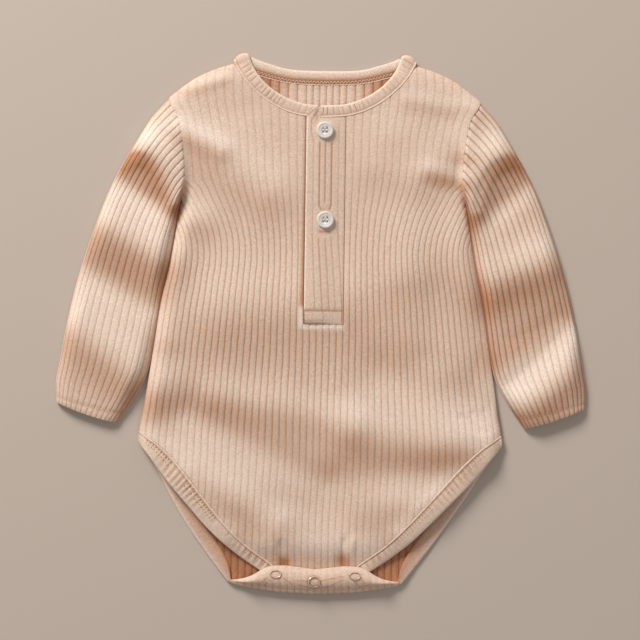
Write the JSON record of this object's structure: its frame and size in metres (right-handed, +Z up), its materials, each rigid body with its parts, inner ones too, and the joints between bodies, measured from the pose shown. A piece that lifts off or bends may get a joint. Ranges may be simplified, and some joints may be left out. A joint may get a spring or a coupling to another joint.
{
  "type": "baby romper",
  "caption": "Long-sleeved baby bodysuit in wide-rib knit with a buttoned placket, bound neck and leg edges and a snapped crotch flap, laid flat.",
  "frame": {"origin": "under the middle of the garment's outline, on the surface that it lies on", "axes": "+Y from the crotch to the neck, +X to the wearer's left sleeve, +Z up from the back to the front"},
  "size_m": [0.3724, 0.3784, 0.0096],
  "materials": {
    "rib_knit": "matt cotton rib knit, peach",
    "button_white": "satin",
    "snap_metal": "satin"
  },
  "bodies": {
    "root": {"front_body": "rib_knit", "back_body": "rib_knit", "sleeve_left": "rib_knit", "sleeve_right": "rib_knit", "neck_band": "rib_knit", "leg_band_front_left": "rib_knit", "leg_band_front_right": "rib_knit", "leg_band_back_left": "rib_knit", "leg_band_back_right": "rib_knit", "placket_upper": "rib_knit", "placket_under": "rib_knit", "button_upper": "button_white", "button_lower": "button_white", "snap_right": "snap_metal", "snap_middle": "snap_metal", "snap_left": "snap_metal"}
  },
  "joints": []
}
